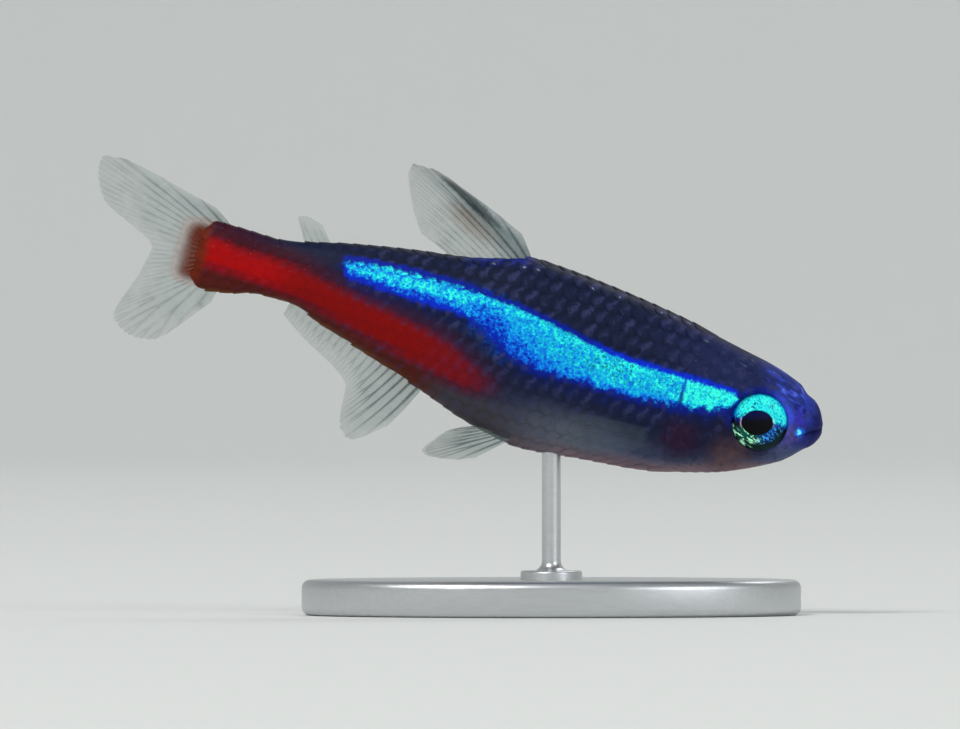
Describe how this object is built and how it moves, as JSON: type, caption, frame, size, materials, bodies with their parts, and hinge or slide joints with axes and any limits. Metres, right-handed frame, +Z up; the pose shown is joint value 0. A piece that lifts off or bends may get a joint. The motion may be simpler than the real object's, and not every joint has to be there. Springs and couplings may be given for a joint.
{
  "type": "neon tetra",
  "caption": "Small slender aquarium fish, blue-striped and red-tailed, posed nose down in mid-water and held over an oval base by one short rod.",
  "frame": {"origin": "centre of the stand's foot, on the floor", "axes": "+X along the fish towards its snout, which dips about 16 degrees under the level; +Y across, towards the fish's left side; +Z up"},
  "size_m": [0.0308, 0.0126, 0.0194],
  "materials": {
    "head_skin": "wet skin, blue-violet over navy",
    "gill_cover_skin": "wet skin, dark plum",
    "eye": "polished, cyan iris round a black pupil",
    "flank_skin": "wet scaled skin, azure stripe over navy and plum",
    "tail_skin": "wet scaled skin, red under dark plum",
    "fin": "clear membrane with dusky rays",
    "stand_metal": "satin"
  },
  "bodies": {
    "root": {"head": "head_skin", "gill_cover_left": "gill_cover_skin", "gill_cover_right": "gill_cover_skin", "eye_left": "eye", "eye_right": "eye", "trunk": "flank_skin", "tail_stem": "tail_skin", "dorsal_fin": "fin", "adipose_fin": "fin", "anal_fin": "fin", "caudal_fin": "fin", "pelvic_fin_left": "fin", "pelvic_fin_right": "fin", "pectoral_fin_left": "fin", "pectoral_fin_right": "fin", "stand_base": "stand_metal", "stand_rod": "stand_metal"}
  },
  "joints": []
}
